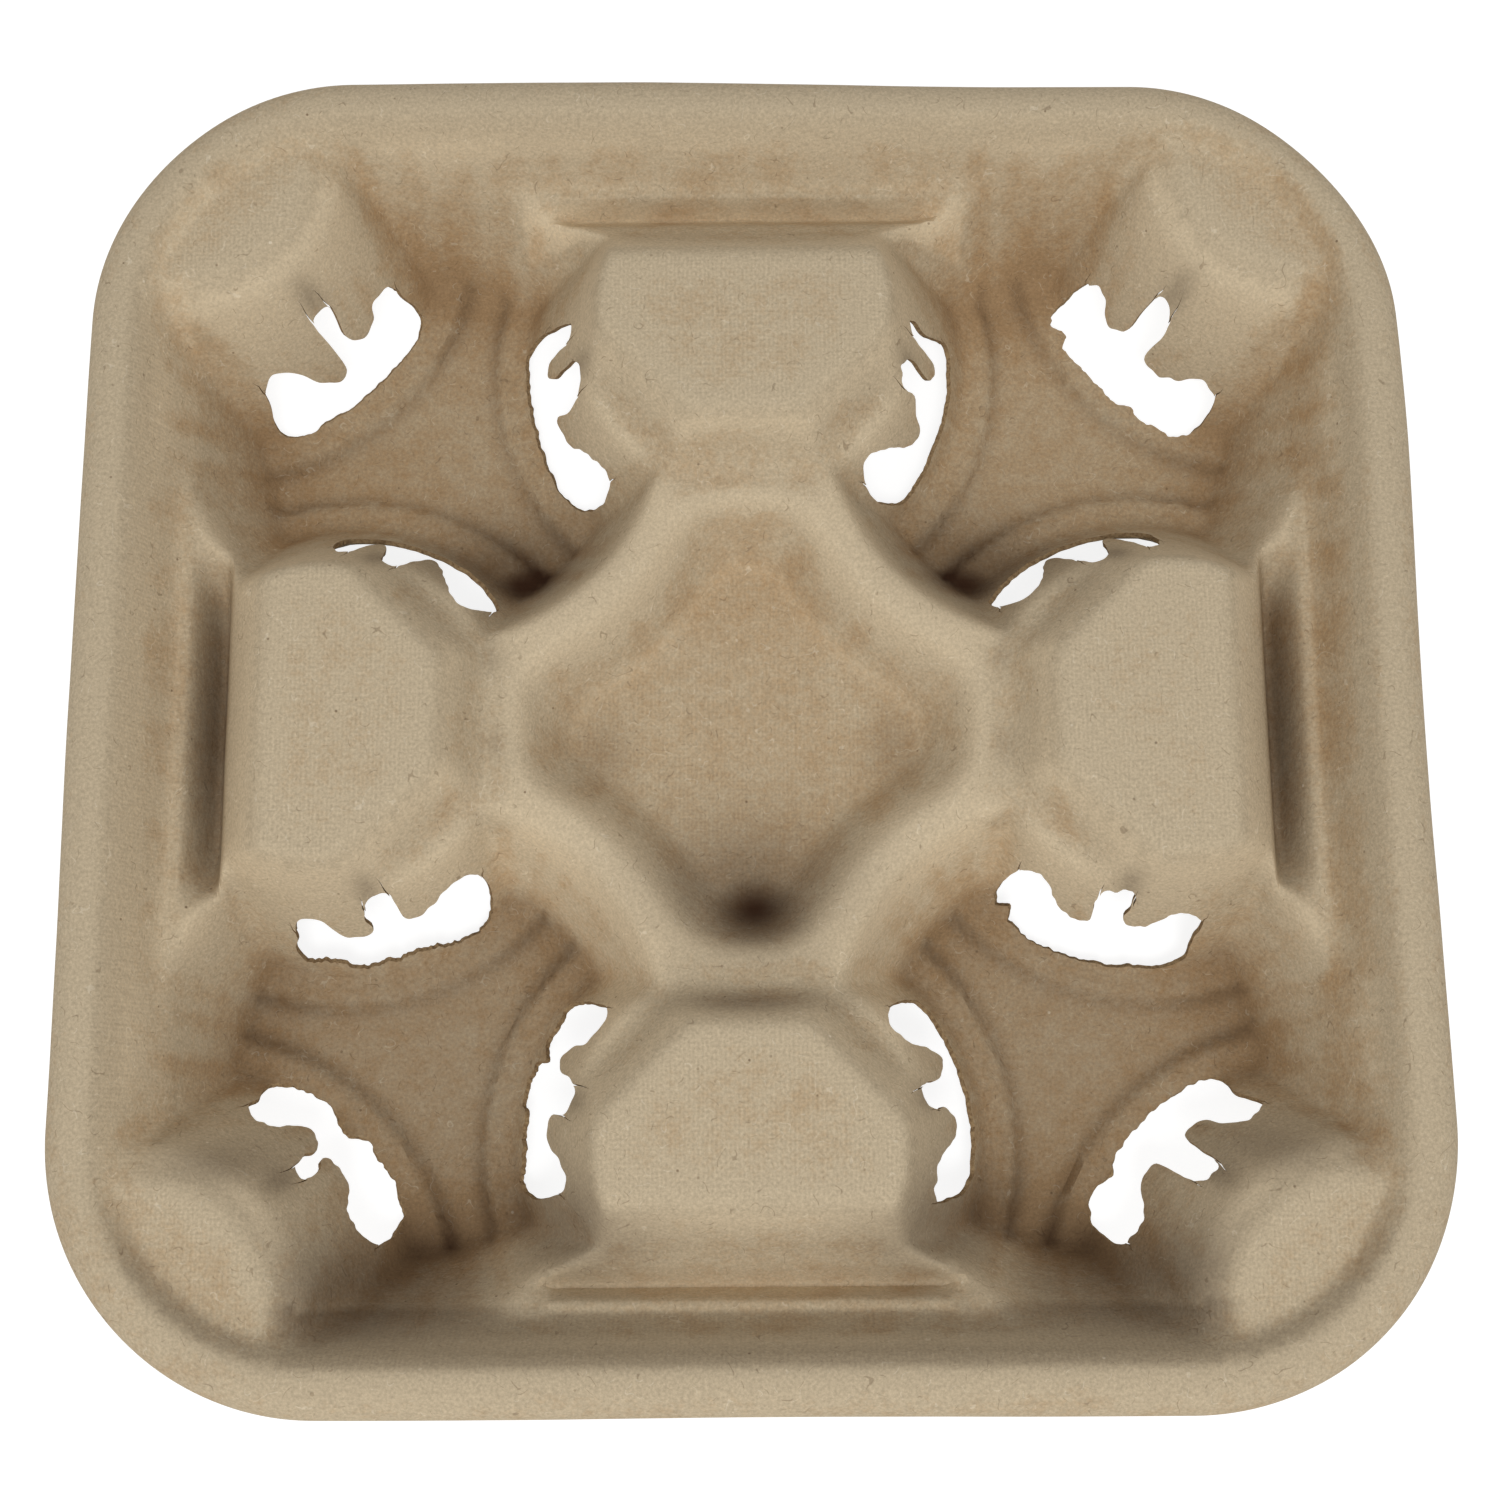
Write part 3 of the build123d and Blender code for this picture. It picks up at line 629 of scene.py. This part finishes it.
def moulded_pulp(finish):
    """Moulded recycled-paper pulp, drawn onto a wire screen and oven-dried: matt, mottled tan with stray fibres, and
    with painted shade and painted light from the tray's marks.
    """
    material = bpy.data.materials.new("moulded_paper_pulp")
    material.use_nodes = True
    tree = material.node_tree
    shader = tree.nodes["Principled BSDF"]
    shader.inputs["Roughness"].default_value = 0.93
    shader.inputs["IOR"].default_value = 1.45
    shader.inputs["Specular IOR Level"].default_value = 0.2
    place = add_node(tree, "ShaderNodeTexCoord").outputs["Object"]
    per_mm = 1 / MM
    marks = {name: add_node(tree, "ShaderNodeAttribute", attribute_name=name).outputs["Fac"]
             for name in ("browned_and_shaded", "scorch_and_shade", "painted_light", "wires_x", "wires_y")}

    # Broad clouds, cloudiness and mottle of the felt, added to the mark of browner pulp with its painted shade and
    # painted highlight, shift the pulp towards its browner tone
    share = marks["browned_and_shaded"]
    for size, gain in ((26.0, 0.7), (3.4, 0.9), (0.9, 0.9)):
        cloud = add_node(tree, "ShaderNodeTexNoise", {"Vector": place, "Scale": per_mm / size, "Detail": 2.0})
        share = add_node(tree, "ShaderNodeMath", {0: cloud.outputs["Fac"], 1: gain, 2: share},
                         operation="MULTIPLY_ADD").outputs[0]
    brown_and_shade = add_node(tree, "ShaderNodeMapRange", {"Value": share, "From Min": 1.25, "From Max": 2.25})
    colour = add_node(tree, "ShaderNodeMix", {0: brown_and_shade.outputs[0], 6: (*finish.pulp, 1), 7: (*finish.pulp_brown_and_shade, 1)},
                      data_type="RGBA").outputs[2]

    # Felted fibres: thin bands of one noise, cut short by another
    for turn, (size, thin, rare, tone, depth) in enumerate((
            (5.0, 0.005, 0.62, finish.fibre_dark, 0.4), (9.0, 0.002, 0.58, finish.fibre_dark, 0.4),
            (4.0, 0.006, 0.58, finish.fibre_pale, 0.35))):
        strand = add_node(tree, "ShaderNodeTexNoise", {"Vector": place, "W": 3.0 * turn, "Scale": per_mm / size,
                                                       "Detail": 1.0}, noise_dimensions="4D")
        chop = add_node(tree, "ShaderNodeTexNoise", {"Vector": place, "W": 3.0 * turn + 1.5, "Scale": per_mm / 1.8,
                                                     "Detail": 0.0}, noise_dimensions="4D")
        band = add_node(tree, "ShaderNodeMath", {0: strand.outputs["Fac"], 1: 0.5, 2: thin}, operation="COMPARE")
        short = add_node(tree, "ShaderNodeMapRange", {"Value": chop.outputs["Fac"], "From Min": rare,
                                                      "From Max": rare + 0.05, "To Max": depth})
        hair = add_node(tree, "ShaderNodeMath", {0: band.outputs[0], 1: short.outputs[0]}, operation="MULTIPLY")
        colour = add_node(tree, "ShaderNodeMix", {0: hair.outputs[0], 6: colour, 7: (*tone, 1)},
                          data_type="RGBA").outputs[2]

    # Bark and bleached specks, 0.3 to 0.5 mm across and a few millimetres apart
    for size, near, tone in ((3.6, 0.075, finish.fibre_dark), (6.5, 0.05, finish.fibre_pale)):
        cells = add_node(tree, "ShaderNodeTexVoronoi", {"Vector": place, "Scale": per_mm / size})
        pick = add_node(tree, "ShaderNodeSeparateColor", {"Color": cells.outputs["Color"]})
        keep = add_node(tree, "ShaderNodeMapRange", {"Value": pick.outputs[0], "From Min": 0.55, "From Max": 0.95,
                                                     "To Max": 0.75})
        dot = add_node(tree, "ShaderNodeMapRange", {"Value": cells.outputs["Distance"], "From Min": 0.6 * near,
                                                    "From Max": near, "To Min": 1.0, "To Max": 0.0})
        speck = add_node(tree, "ShaderNodeMath", {0: dot.outputs[0], 1: keep.outputs[0]}, operation="MULTIPLY")
        colour = add_node(tree, "ShaderNodeMix", {0: speck.outputs[0], 6: colour, 7: (*tone, 1)},
                          data_type="RGBA").outputs[2]

    # Wire lines of the forming screen
    apart = add_node(tree, "ShaderNodeSeparateXYZ", {"Vector": place})
    lines = 0.0
    for axis, name in ((0, "wires_x"), (1, "wires_y")):
        phase = add_node(tree, "ShaderNodeMath", {0: apart.outputs[axis], 1: 2 * math.pi * per_mm / WIRE_PITCH},
                         operation="MULTIPLY")
        wave = add_node(tree, "ShaderNodeMath", {0: phase.outputs[0]}, operation="SINE")
        lines = add_node(tree, "ShaderNodeMath", {0: wave.outputs[0], 1: marks[name], 2: lines},
                         operation="MULTIPLY_ADD").outputs[0]

    # Grain of the felt in light and dark, with the wire lines and the painted light on ridges, walls and grooves, and
    # last the dark marks, partly scorch of the drying mould and mostly painted shade
    grain = add_node(tree, "ShaderNodeTexNoise", {"Vector": place, "Scale": per_mm / 0.5, "Detail": 3.0,
                                                  "Roughness": 0.65})
    tone = add_node(tree, "ShaderNodeMapRange", {"Value": grain.outputs["Fac"], "From Min": 0.3, "From Max": 0.7,
                                                 "To Min": 0.82, "To Max": 1.18})
    value = add_node(tree, "ShaderNodeMath", {0: lines, 1: 0.05, 2: tone.outputs[0]}, operation="MULTIPLY_ADD")
    value = add_node(tree, "ShaderNodeMath", {0: value.outputs[0], 1: marks["painted_light"]}, operation="ADD")
    grained = add_node(tree, "ShaderNodeHueSaturation", {"Value": value.outputs[0], "Color": colour})
    scorched_and_shaded = add_node(tree, "ShaderNodeMix", {0: marks["scorch_and_shade"], 6: grained.outputs[0], 7: (*finish.scorch_and_shade, 1)},
                     data_type="RGBA")
    tree.links.new(scorched_and_shaded.outputs[2], shader.inputs["Base Color"])

    # Relief of the felt and of the wire lines
    felt = add_node(tree, "ShaderNodeTexNoise", {"Vector": place, "Scale": per_mm / 1.9, "Detail": 4.0,
                                                 "Roughness": 0.6})
    relief = add_node(tree, "ShaderNodeMath", {0: lines, 1: 0.12, 2: felt.outputs["Fac"]}, operation="MULTIPLY_ADD")
    bump = add_node(tree, "ShaderNodeBump", {"Height": relief.outputs[0], "Strength": 0.6, "Distance": 0.3 * MM})
    tree.links.new(bump.outputs["Normal"], shader.inputs["Normal"])
    return material


def torn_pulp(finish):
    """Torn edge of the pulp: paler, rougher felt with its fibres drawn out."""
    material = bpy.data.materials.new("torn_pulp_edge")
    material.use_nodes = True
    tree = material.node_tree
    shader = tree.nodes["Principled BSDF"]
    shader.inputs["Roughness"].default_value = 0.97
    shader.inputs["Specular IOR Level"].default_value = 0.15
    place = add_node(tree, "ShaderNodeTexCoord").outputs["Object"]
    felt = add_node(tree, "ShaderNodeTexNoise", {"Vector": place, "Scale": 1 / (0.6 * MM), "Detail": 4.0})
    felt = felt.outputs["Fac"]
    ramp = add_node(tree, "ShaderNodeValToRGB", {"Fac": felt})
    for stop, at, tone in zip(ramp.color_ramp.elements, (0.3, 0.75), (finish.torn_dark, finish.torn_pale)):
        stop.position, stop.color = at, (*tone, 1)
    tree.links.new(ramp.outputs["Color"], shader.inputs["Base Color"])
    bump = add_node(tree, "ShaderNodeBump", {"Height": felt, "Strength": 0.7, "Distance": 0.3 * MM})
    tree.links.new(bump.outputs["Normal"], shader.inputs["Normal"])
    return material


class CARRIER_OT_tray(bpy.types.Operator):
    """Mould the pulp tray: one sheet with its wells, pads, grooves, pit, rim and torn slots"""
    bl_idname = "carrier.tray"
    bl_label = "Mould the tray"

    def execute(self, context):
        shape, finish = context.scene.carrier_shape, context.scene.carrier_finish
        points, top, under, walls, normal = build_sheet(shape)
        mesh = bpy.data.meshes.new("pulp_tray")
        mesh.from_pydata((points * MM).tolist(), [], top + under + walls)
        mesh.materials.append(moulded_pulp(finish))
        mesh.materials.append(torn_pulp(finish))
        material_index = np.zeros(len(mesh.polygons), np.int32)
        material_index[-len(walls):] = 1
        mesh.polygons.foreach_set("material_index", material_index)
        mesh.polygons.foreach_set("use_smooth", np.ones(len(mesh.polygons), bool))
        mesh.set_sharp_from_angle(angle=math.radians(55))
        self.mark(mesh, points, normal, shape)
        mesh.validate()
        tray = bpy.data.objects.new("pulp_tray", mesh)
        context.scene.collection.objects.link(tray)
        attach(tray, "root")
        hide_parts("cup_carrier")
        return {"FINISHED"}

    def mark(self, mesh, points, normal, shape):
        """Browner and scorched pulp, painted shade and painted light, and where the screen's wires show."""
        x, y, z = points.T
        side, end, middle = np.abs(x), np.abs(y), np.hypot(x, y)
        well, reach = mm(shape.well_offset), rim_gauge(x, y, shape)
        up = np.concatenate([normal[:, 2], normal[:, 2]])
        steep = ramp_down(up, 1, 0.5)
        # Hollows get painted shade and ridges a painted highlight below
        hollow, ridge = hollow_depth(x, y, shape, 11.0), -hollow_depth(x, y, shape, 4.0)
        hollow = hollow * (1 - 0.7 * ramp_up(end, 80, 4) * ramp_down(side, 50, 12))
        wall = np.clip(steep * 2, 0, 1) * (reach > -7) * (reach < 1)
        near = wall * ramp_up(-y - side, -24, 16)

        # Scorch and painted shade: marks, mostly painted shade below the pads and in the valleys; painted shade on the
        # well floors, in deep hollows, in the ledge creases and on the near wall; the rim slightly darker; dark
        # notches, partly painted shade of their recesses
        scorch_and_shade = np.zeros_like(x)
        for *place, strength in SCORCH_AND_SHADE_SPOTS:
            scorch_and_shade = np.maximum(scorch_and_shade, strength * spot(x, y, *place))
        scorch_and_shade = scorch_and_shade * ramp_down(z, 35.5, 2)
        # Painted shade on the low well floors, darker towards the front and slightly towards the left
        floor_shade = 0.14 - 0.09 * np.clip(y / 30, -1, 1) - 0.02 * np.clip(x / 30, -1, 1)
        scorch_and_shade = scorch_and_shade + floor_shade * ramp_down(z, 9, 5)
        scorch_and_shade = scorch_and_shade + 0.2 * ramp_up(hollow, 6, 9) + 0.05 * (reach > -1)
        # Painted shade in the creases at the ledges' edges, and dark patches at the notches, partly painted shade of
        # their recesses
        notch_share = 27.6 / mm(shape.bulge_reach)
        for bx, by in bulge_axes(shape):
            along, across = side - bx, end - by
            gap = np.hypot(along, across) - mm(shape.slot_radius + shape.ledge_width) + 0.7
            scorch_and_shade = scorch_and_shade + (0.08 + 0.16 * ramp_up(hollow, 0, 8)) * np.exp(-(gap / 1.4) ** 2) * (z < 5)
            notch = np.hypot(along - notch_share * (well - bx), across - notch_share * (well - by))
            scorch_and_shade = scorch_and_shade + 0.4 * np.exp(-(notch / 2.2) ** 2)
        scorch_and_shade = scorch_and_shade + 0.22 * near

        # Browner pulp and painted shade: painted shade in low places and hollows, less brown on ridges as a painted
        # highlight, brown folds of the walls, stains and the pit, and the right wall browner
        turn = np.arctan2(end - well, side - well)
        folds = Ripple(shape.seed + 9, 4.5)(40 * turn + 200 * np.sign(x), 0.15 * z + 300 * np.sign(y))
        brown_and_shade = (0.12 + 0.4 * ramp_down(z, 14, 10) + 0.45 * ramp_up(hollow, 3, 11)
                 + 0.12 * folds * steep * (z < 34) - 0.5 * ramp_up(ridge, 0, 1.6))
        for *place, strength in STAINS:
            brown_and_shade = brown_and_shade + strength * spot(x, y, *place) * (z < 35)
        brown_and_shade = brown_and_shade + 0.22 * ramp_down(z, 24, 8) * (middle < 40)
        brown_and_shade = brown_and_shade + 0.35 * wall * (x > end)

        # Painted light: painted highlights on ridges, the left and far walls, the pit's foot line, the far groove and
        # the near funnels
        lit = (wall - near) * (reach < -0.5) * np.where(x < -end, 1.0, 0.4 * (y > side))
        foot = np.exp(-((z - 13.4) / 0.7) ** 2) * (side + end < 42) * (y > -4)
        painted_light = 0.16 * ramp_up(ridge, 0, 1.6) * (z < 34) + 0.14 * lit + 0.12 * foot
        painted_light = painted_light + 0.22 * (y > 85) * (side < 38) * ramp_down(z, 25, 3)
        funnel = ramp_up(np.hypot(side - well, end - well), 30, 3) * ramp_down(side, 46, 6)
        painted_light = painted_light + 0.18 * funnel * ramp_down(z, 26, 4) * (y < -18) * (middle > 36)

        # Screen wires: flat pads and pit floor, and the near and left walls
        flat = ramp_up(up, 0.97, 0.025) * ((z > 33) & (z < 37.5) | (z < 14) & (side + end < 45))
        marks = {
            "browned_and_shaded": brown_and_shade,
            "scorch_and_shade": np.clip(scorch_and_shade, 0, 1),
            "painted_light": painted_light,
            "wires_x": np.maximum(0.6 * flat, 0.5 * wall * ramp_up(-y - side, 8, 20)),
            "wires_y": np.maximum(0.3 * flat, 0.4 * wall * (-x > end + 20)),
        }
        for name, values in marks.items():
            layer = mesh.attributes.new(name, "FLOAT", "POINT")
            layer.data.foreach_set("value", values.astype(np.float32))


class CARRIER_OT_stage(bpy.types.Operator):
    """Set the plain floor, the soft studio light and the camera above the tray"""
    bl_idname = "carrier.stage"
    bl_label = "Set the stage"

    def execute(self, context):
        scene = context.scene
        finish = scene.carrier_finish
        scene.view_settings.view_transform = "Standard"

        mesh = bpy.data.meshes.new("floor")
        reach = 6.0
        mesh.from_pydata([(-reach, -reach, 0), (reach, -reach, 0), (reach, reach, 0), (-reach, reach, 0)], [],
                         [(0, 1, 2, 3)])
        floor = bpy.data.objects.new("floor", mesh)
        floor.location.z = -0.0004
        scene.collection.objects.link(floor)
        mesh.materials.append(self.table_top(finish))

        world = bpy.data.worlds.new("studio")
        scene.world = world
        world.use_nodes = True
        tree = world.node_tree
        path = add_node(tree, "ShaderNodeLightPath").outputs
        back = tree.nodes["Background"]
        back.inputs["Color"].default_value = (1, 1, 1, 1)
        seen = path["Is Camera Ray"]
        for kind in ("Is Glossy Ray", "Is Transmission Ray"):
            seen = add_node(tree, "ShaderNodeMath", {0: seen, 1: path[kind]}, operation="ADD", use_clamp=True)
            seen = seen.outputs[0]
        strength = add_node(tree, "ShaderNodeMapRange", {"Value": seen, "To Min": STUDIO_LIGHT, "To Max": 1.0})
        tree.links.new(strength.outputs["Result"], back.inputs["Strength"])

        for name, (place, size, watts) in LAMPS.items():
            lamp = bpy.data.lights.new(name, "AREA")
            lamp.size, lamp.energy = size, watts
            light = bpy.data.objects.new(name, lamp)
            light.location = place
            light.rotation_euler = (-light.location).to_track_quat("-Z", "Y").to_euler()
            scene.collection.objects.link(light)

        lens = bpy.data.cameras.new("camera")
        lens.sensor_width, lens.lens, lens.shift_x = 36.0, 36.0 * FOCAL_PIXELS / PICTURE_PIXELS, 0.002
        lens.clip_start = 0.01
        camera = bpy.data.objects.new("camera", lens)
        turn, tilt = math.radians(CAMERA_TURN), math.radians(CAMERA_TILT)
        look = Matrix.Rotation(turn, 4, "Z") @ Matrix.Rotation(math.radians(90) - tilt, 4, "X")
        camera.matrix_world = look @ Matrix.Translation((0, 0, CAMERA_AWAY))
        scene.collection.objects.link(camera)
        scene.camera = camera
        return {"FINISHED"}

    def table_top(self, finish):
        """White laminate under soft light: it reads as paper white to the eye and keeps a faint shadow."""
        material = bpy.data.materials.new("white_laminate")
        material.use_nodes = True
        tree = material.node_tree
        tree.nodes.clear()
        glow = add_node(tree, "ShaderNodeEmission", {"Color": (1, 1, 1, 1), "Strength": TABLE_GLOW})
        shade = add_node(tree, "ShaderNodeBsdfDiffuse", {"Color": (*[TABLE_SHADE] * 3, 1)})
        seen = add_node(tree, "ShaderNodeAddShader", {0: glow.outputs[0], 1: shade.outputs[0]})
        plain = add_node(tree, "ShaderNodeBsdfDiffuse", {"Color": (*finish.floor, 1)})
        ray = add_node(tree, "ShaderNodeLightPath").outputs["Is Camera Ray"]
        mix = add_node(tree, "ShaderNodeMixShader", {0: ray, 1: plain.outputs[0], 2: seen.outputs[0]})
        add_node(tree, "ShaderNodeOutputMaterial", {"Surface": mix.outputs[0]})
        return material


class CARRIER_PT_panel(bpy.types.Panel):
    """Sizes and colours of the cup carrier, with the steps that build it"""
    bl_label = "Cup carrier"
    bl_idname = "CARRIER_PT_panel"
    bl_space_type = "VIEW_3D"
    bl_region_type = "UI"
    bl_category = "Cup carrier"

    def draw(self, context):
        layout = self.layout
        for group in (context.scene.carrier_shape, context.scene.carrier_finish):
            box = layout.box()
            for name in group.__annotations__:
                box.prop(group, name)
        for operator in (CARRIER_OT_tray, CARRIER_OT_stage):
            layout.operator(operator.bl_idname)


CLASSES = (CarrierShape, CarrierFinish, CARRIER_OT_tray, CARRIER_OT_stage, CARRIER_PT_panel)


def register():
    for item in CLASSES:
        bpy.utils.register_class(item)
    bpy.types.Scene.carrier_shape = PointerProperty(type=CarrierShape)
    bpy.types.Scene.carrier_finish = PointerProperty(type=CarrierFinish)


def unregister():
    del bpy.types.Scene.carrier_shape
    del bpy.types.Scene.carrier_finish
    for item in reversed(CLASSES):
        bpy.utils.unregister_class(item)


def main():
    register()
    bpy.ops.carrier.tray()
    bpy.ops.carrier.stage()


if __name__ == "__main__":
    main()
